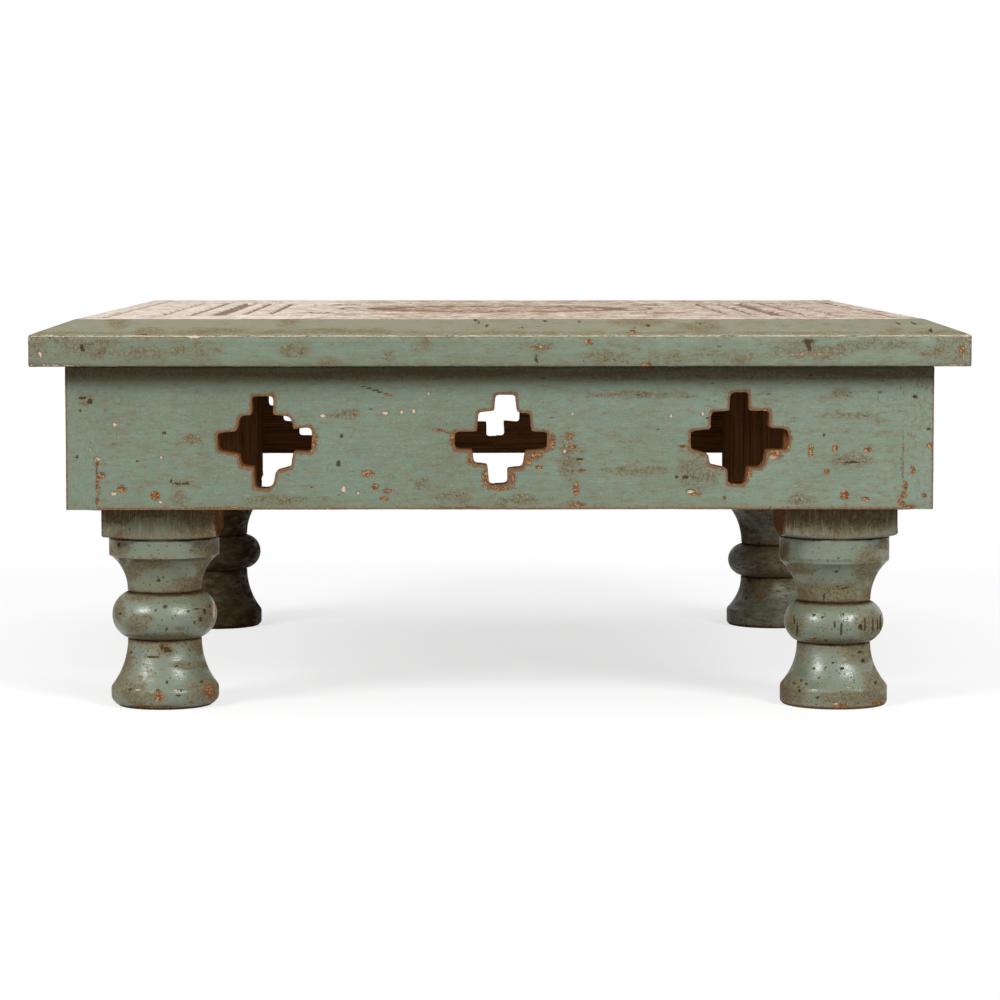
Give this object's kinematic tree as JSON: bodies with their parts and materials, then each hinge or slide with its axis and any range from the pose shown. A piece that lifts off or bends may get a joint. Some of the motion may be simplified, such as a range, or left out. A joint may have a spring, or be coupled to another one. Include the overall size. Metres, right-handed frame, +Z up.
{
  "type": "low table",
  "caption": "Low square table with a bevelled, carved top, pierced aprons and short turned legs, used sitting on the floor.",
  "frame": {"origin": "middle of the footprint, on the floor under the feet", "axes": "+Z up, the front apron faces -Y, +X to the right seen from the front"},
  "size_m": [0.6, 0.6, 0.2566],
  "materials": {
    "painted_rail": "worn matt sage paint",
    "painted_apron": "worn matt sage paint",
    "painted_leg": "worn satin sage paint",
    "washed_panel": "cream limewash over carved wood",
    "bare_wood": "bare, darkened with age",
    "iron": "rusted"
  },
  "bodies": {
    "root": {"top_rail_front": "painted_rail", "top_rail_right": "painted_rail", "top_rail_back": "painted_rail", "top_rail_left": "painted_rail", "panel_board_1": "washed_panel", "panel_board_2": "washed_panel", "panel_board_3": "washed_panel", "batten_left": "bare_wood", "batten_right": "bare_wood", "apron_front": "painted_apron", "apron_right": "painted_apron", "apron_back": "painted_apron", "apron_left": "painted_apron", "leg_front_left": "painted_leg", "leg_front_right": "painted_leg", "leg_back_left": "painted_leg", "leg_back_right": "painted_leg", "post_nails": "iron", "corner_nails": "iron", "top_nails": "iron", "batten_screws": "iron"}
  },
  "joints": []
}
